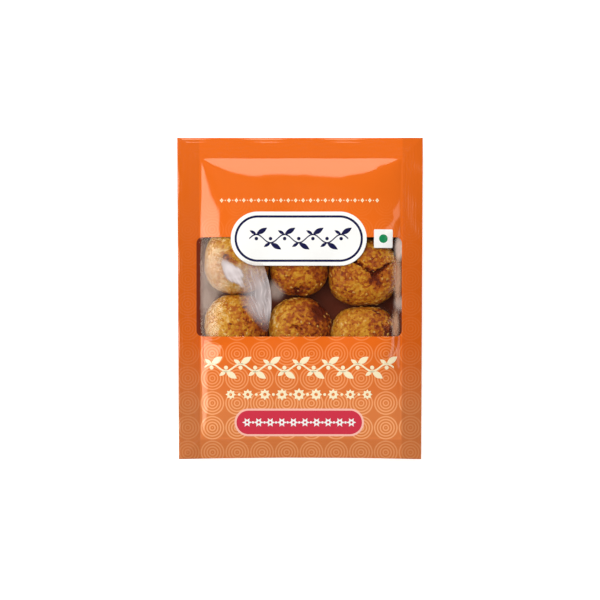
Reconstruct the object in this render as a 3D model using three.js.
// A sealed film pouch of six date and peanut ladoos, lying on its back with its printed front up.
// Millimetres. X runs across the pouch, Y to its top edge, and +Z out of its front.
// The origin is under the middle of the pouch, on the surface that it lies on.
import * as THREE from 'three';
import { mergeVertices } from 'three/addons/utils/BufferGeometryUtils.js';

// ---- Driving dimensions ----

// The pouch as it lies, over the outer edges of its seals.
const POUCH_WIDTH = 130;
const POUCH_HEIGHT = 170;

// The flat seals round the filled body.
const SEAL_LEFT = 12.2;
const SEAL_RIGHT = 11.2;
const SEAL_ENDS = 10.8;
const SEAL_THICKNESS = 0.8;
const SEAL_LIFT = 18; // height of the seals above the surface, a little over the ladoos' middles
const SEAL_DROOP = 1.5; // how far the outer edge hangs below the root of the seal
const SEAL_RIPPLE = 0.45; // height of the waves along the outer edge
const SEAL_RIPPLE_LENGTH = 41; // one wave along the edge

// The bottom edge is drawn in a little by the filling.
const BOTTOM_ARCH = 0.8; // the middle of the bottom edge lies this much higher than its corners
const BOTTOM_TAPER = 0.9; // each bottom corner lies this much further in than the top one

// The filled body, which rises from the seals over a rounded rim.
const FRONT_RISE = 10; // front film above the seals, where the ladoos carry it
const END_SAG = 2.5; // the front film falls by this towards each end, past the ladoos
const RIM_SIDE = 18; // run of the rim from a side seal to the level film, beside the ladoos
const RIM_SIDE_EXTRA = 7; // the side rim is gentler by this much at the ends of the body
const RIM_TOP = 26; // run of the rim from the top seal
const RIM_BOTTOM = 38; // the film falls more gently to the bottom seal
const RIM_POWER_FRONT = 2; // how soon the rim turns level
const RIM_POWER_BACK = 3;

// Towards each end the film bulges in soft lobes, side by side across the pouch.
const LOBE_RUN = 0.17; // share by which the rim's run grows on a lobe and shrinks between them
const LOBE_SAG = 0.5; // share by which the sag shrinks on a lobe and grows between them
const LOBE_LENGTH = 52.7;
const LOBE_CENTRE = -29;

// The ladoos, two rows of three, which show as low domes in the front film.
const LADOO_PITCH_X = 33.5;
const LADOO_ROW_TOP = 17;
const LADOO_ROW_BOTTOM = -16;
const LADOO_RIGHT_DROP = 3.5; // the right-hand pair lies a little lower
const LADOO_REACH = 33; // the ladoos carry the front film this far from the middle, along Y
const LADOO_FADE = 22; // past that, the film takes this long to settle
const DOME_HEIGHT = 2.2;
const DOME_RADIUS = 11.5;

// Grid of the two films: cells across a seal, across a rim, and between the rims.
const CELLS_SEAL = 2;
const CELLS_RIM = 8;
const CELLS_BETWEEN_SIDES = 18;
const CELLS_BETWEEN_ENDS = 24;

// ---- Where the seals end and the body begins ----

const EDGE_X = POUCH_WIDTH / 2;
const EDGE_Y = POUCH_HEIGHT / 2;
const BODY_LEFT = -EDGE_X + SEAL_LEFT;
const BODY_RIGHT = EDGE_X - SEAL_RIGHT;
const BODY_BOTTOM = -EDGE_Y + SEAL_ENDS;
const BODY_TOP = EDGE_Y - SEAL_ENDS;

// ---- The form, as heights over the pouch's plan ----

const unit = (value) => THREE.MathUtils.clamp(value, 0, 1);
const rimCurve = (run, power) => 1 - (1 - unit(run)) ** power;

// How far a place lies past the ladoos towards an end of the body, from 0 to 1.
function pastLadoos(y) {
  return THREE.MathUtils.smoothstep(Math.abs(y), LADOO_REACH, LADOO_REACH + LADOO_FADE);
}

// 1 on the middle of a lobe, and -1 between two lobes.
const lobe = (x) => Math.cos((2 * Math.PI * (x - LOBE_CENTRE)) / LOBE_LENGTH);

// How far the film has risen from the seals, from 0 on a seal to 1 inside the rims.
// A rounded mitre runs inwards from each corner, where a side rim and an end rim meet.
function fullness(x, y, power) {
  const sideRun = RIM_SIDE + RIM_SIDE_EXTRA * pastLadoos(y);
  const side = Math.min(x - BODY_LEFT, BODY_RIGHT - x) / sideRun;
  const endRun = 1 + LOBE_RUN * lobe(x);
  const end = Math.min((y - BODY_BOTTOM) / RIM_BOTTOM, (BODY_TOP - y) / RIM_TOP) / endRun;
  const onBody = side > 0 && end > 0;
  return onBody ? rimCurve((side * end) / Math.hypot(side, end), power) : 0;
}

// The seals: level at their root, drooping and waving towards their outer edge.
function sealHeight(x, y) {
  const past = Math.max(BODY_LEFT - x, x - BODY_RIGHT, BODY_BOTTOM - y, y - BODY_TOP, 0);
  const out = past / SEAL_ENDS;
  const wave = Math.sin((2 * Math.PI * (x + y)) / SEAL_RIPPLE_LENGTH);
  return SEAL_LIFT - SEAL_DROOP * out * out + SEAL_RIPPLE * out * wave;
}

function ladooCentres() {
  const centres = [];
  for (const row of [LADOO_ROW_TOP, LADOO_ROW_BOTTOM]) {
    for (const column of [-1, 0, 1]) {
      const y = column === 1 ? row - LADOO_RIGHT_DROP : row;
      centres.push(new THREE.Vector2(column * LADOO_PITCH_X, y));
    }
  }
  return centres;
}

const LADOOS = ladooCentres();

function domeHeight(x, y) {
  const here = new THREE.Vector2(x, y);
  const fall = (centre) => Math.exp(-here.distanceToSquared(centre) / DOME_RADIUS ** 2);
  return DOME_HEIGHT * Math.max(...LADOOS.map(fall));
}

function frontHeight(x, y) {
  const sag = END_SAG * (1 - LOBE_SAG * lobe(x)) * pastLadoos(y);
  const level = FRONT_RISE - sag + domeHeight(x, y);
  return sealHeight(x, y) + SEAL_THICKNESS / 2 + fullness(x, y, RIM_POWER_FRONT) * level;
}

// The back film is drawn down to the surface, where it is flat.
function backHeight(x, y) {
  const seal = sealHeight(x, y) - SEAL_THICKNESS / 2;
  return seal * (1 - fullness(x, y, RIM_POWER_BACK));
}

// ---- The pouch ----

// Grid lines from one outer edge to the other: seal, rim, between the rims, rim, seal.
function gridLines(edge, low, high, rimLow, rimHigh, cellsBetween) {
  const stretches = [
    [-edge, low, CELLS_SEAL],
    [low, low + rimLow, CELLS_RIM],
    [low + rimLow, high - rimHigh, cellsBetween],
    [high - rimHigh, high, CELLS_RIM],
    [high, edge, CELLS_SEAL],
  ];
  const lines = [-edge];
  for (const [from, to, cells] of stretches) {
    for (let i = 1; i <= cells; i++) {
      lines.push(THREE.MathUtils.lerp(from, to, i / cells));
    }
  }
  return lines;
}

// The film's plan is a rectangle whose bottom edge is drawn in and arched.
function drawnIn(x, y) {
  const low = (EDGE_Y - y) / POUCH_HEIGHT;
  const arch = BOTTOM_ARCH * low * (1 - (x / EDGE_X) ** 2);
  return new THREE.Vector2(x * (1 - (BOTTOM_TAPER * low) / EDGE_X), y + arch);
}

// A flat box with a grid on its front and its back, whose points move onto the two films.
function pouchGeometry() {
  const across = [EDGE_X, BODY_LEFT, BODY_RIGHT, RIM_SIDE, RIM_SIDE, CELLS_BETWEEN_SIDES];
  const along = [EDGE_Y, BODY_BOTTOM, BODY_TOP, RIM_BOTTOM, RIM_TOP, CELLS_BETWEEN_ENDS];
  const linesX = gridLines(...across);
  const linesY = gridLines(...along);
  const cellsX = linesX.length - 1;
  const cellsY = linesY.length - 1;
  const box = new THREE.BoxGeometry(cellsX, cellsY, 1, cellsX, cellsY, 1);
  box.deleteAttribute('normal');
  box.deleteAttribute('uv');
  const geometry = mergeVertices(box);
  const point = geometry.attributes.position;
  for (let i = 0; i < point.count; i++) {
    const x = linesX[Math.round(point.getX(i) + cellsX / 2)];
    const y = linesY[Math.round(point.getY(i) + cellsY / 2)];
    const height = point.getZ(i) > 0 ? frontHeight(x, y) : backHeight(x, y);
    const plan = drawnIn(x, y);
    point.setXYZ(i, plan.x, plan.y, height);
  }
  geometry.computeVertexNormals();
  return geometry;
}

function printedFilm() {
  return new THREE.MeshStandardMaterial({ color: 0xee7025, roughness: 0.3, metalness: 0 });
}

const model = new THREE.Group();
const pouch = new THREE.Mesh(pouchGeometry(), printedFilm());
pouch.name = 'pouch';
model.add(pouch);

export default model;
